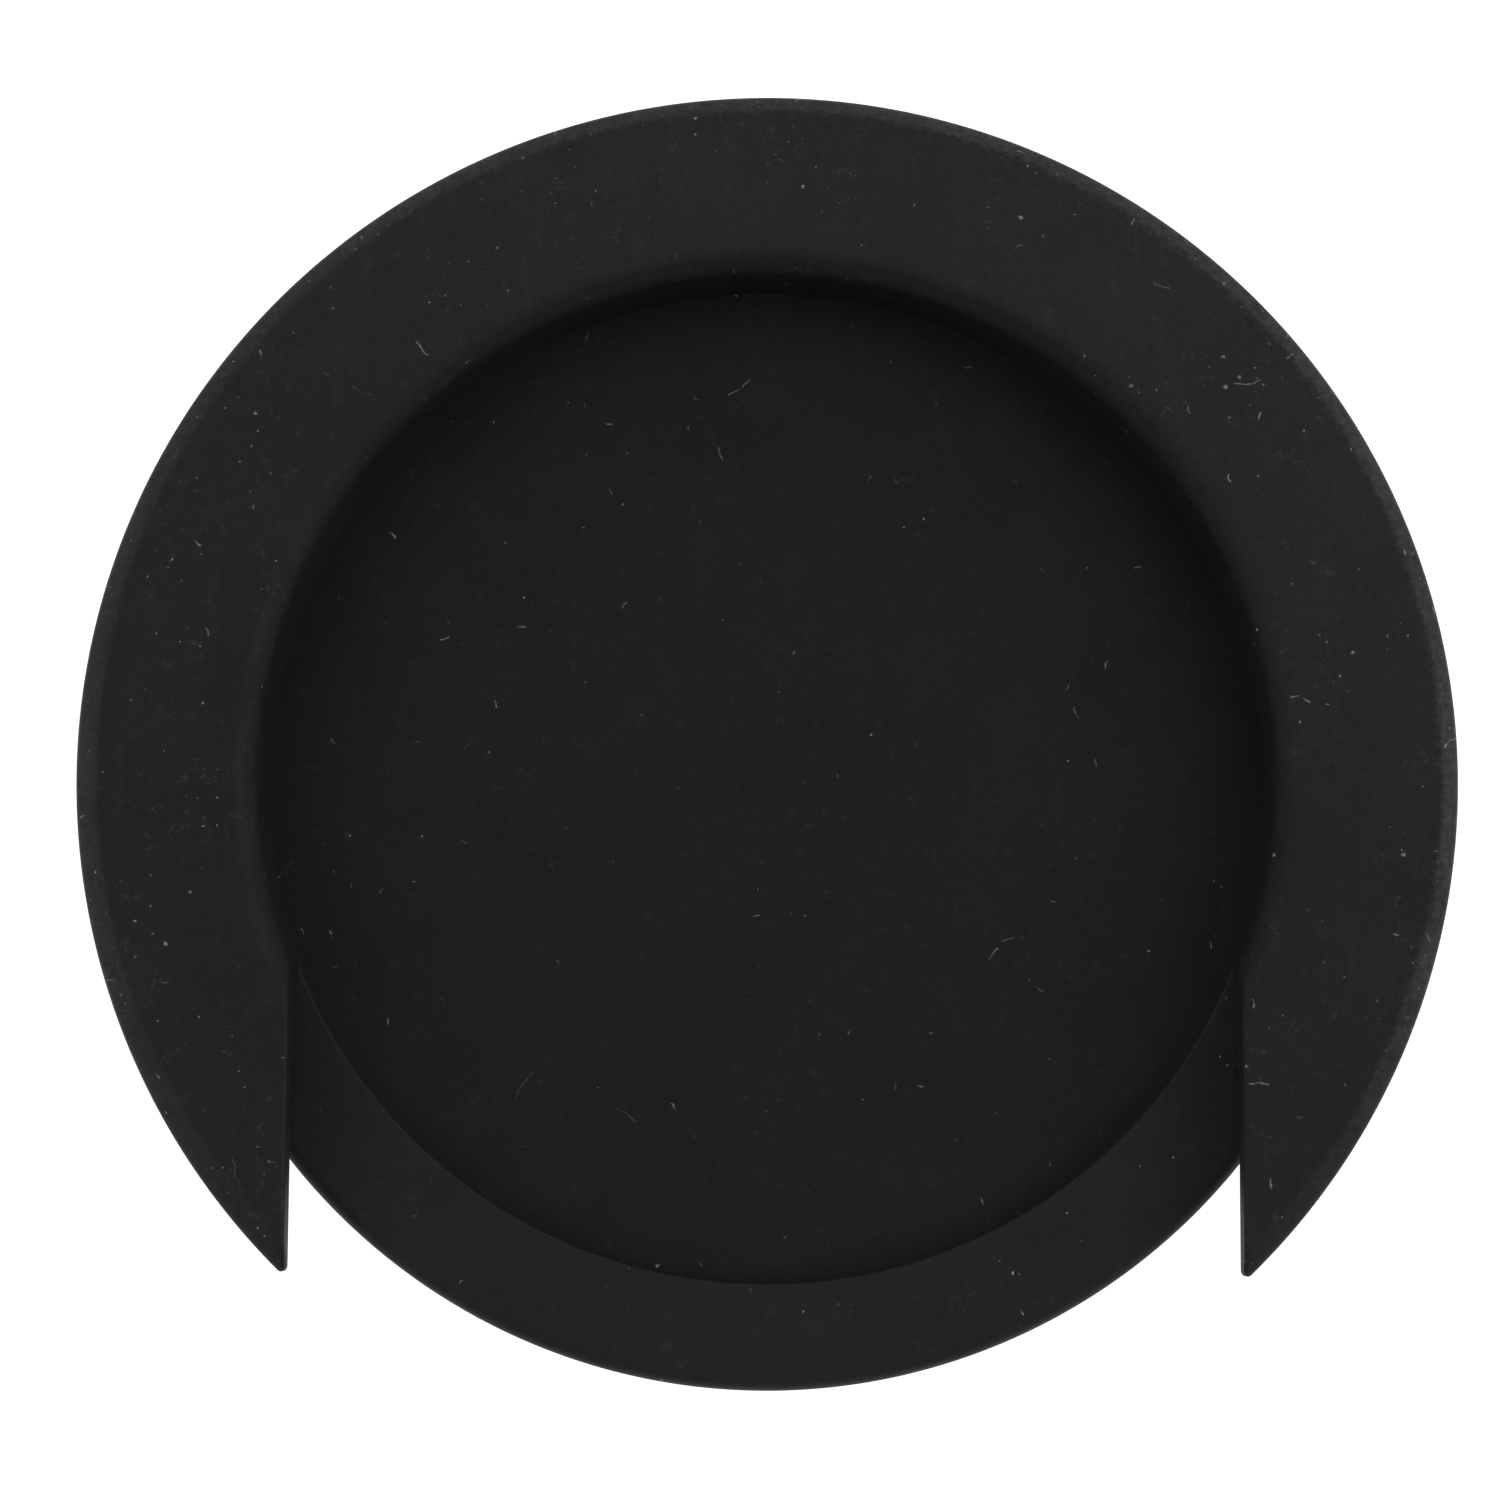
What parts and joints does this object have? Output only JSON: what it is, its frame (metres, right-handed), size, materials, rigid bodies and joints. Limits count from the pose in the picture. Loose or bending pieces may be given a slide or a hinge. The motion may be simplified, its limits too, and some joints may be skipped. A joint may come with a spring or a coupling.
{
  "type": "guitar sound hole cover",
  "caption": "Round soft cover that plugs an acoustic guitar's sound hole to cut feedback, with a recessed face, a groove that grips the soundboard and a straight cut-out for the fretboard.",
  "frame": {"origin": "on the axis of the sound hole, at the cover's flat underside", "axes": "+Z along the sound hole's axis, out of the guitar; -Y from the axis towards the fretboard cut-out; +X to the right, seen from outside with the cut-out at the bottom"},
  "size_m": [0.123, 0.1162, 0.012],
  "materials": {
    "silicone": "matte black moulded silicone, faintly satin, with dust on its surface"
  },
  "bodies": {
    "root": {"floor_panel": "silicone", "recess_wall": "silicone", "retaining_flange": "silicone", "neck": "silicone", "top_flange": "silicone"}
  },
  "joints": []
}
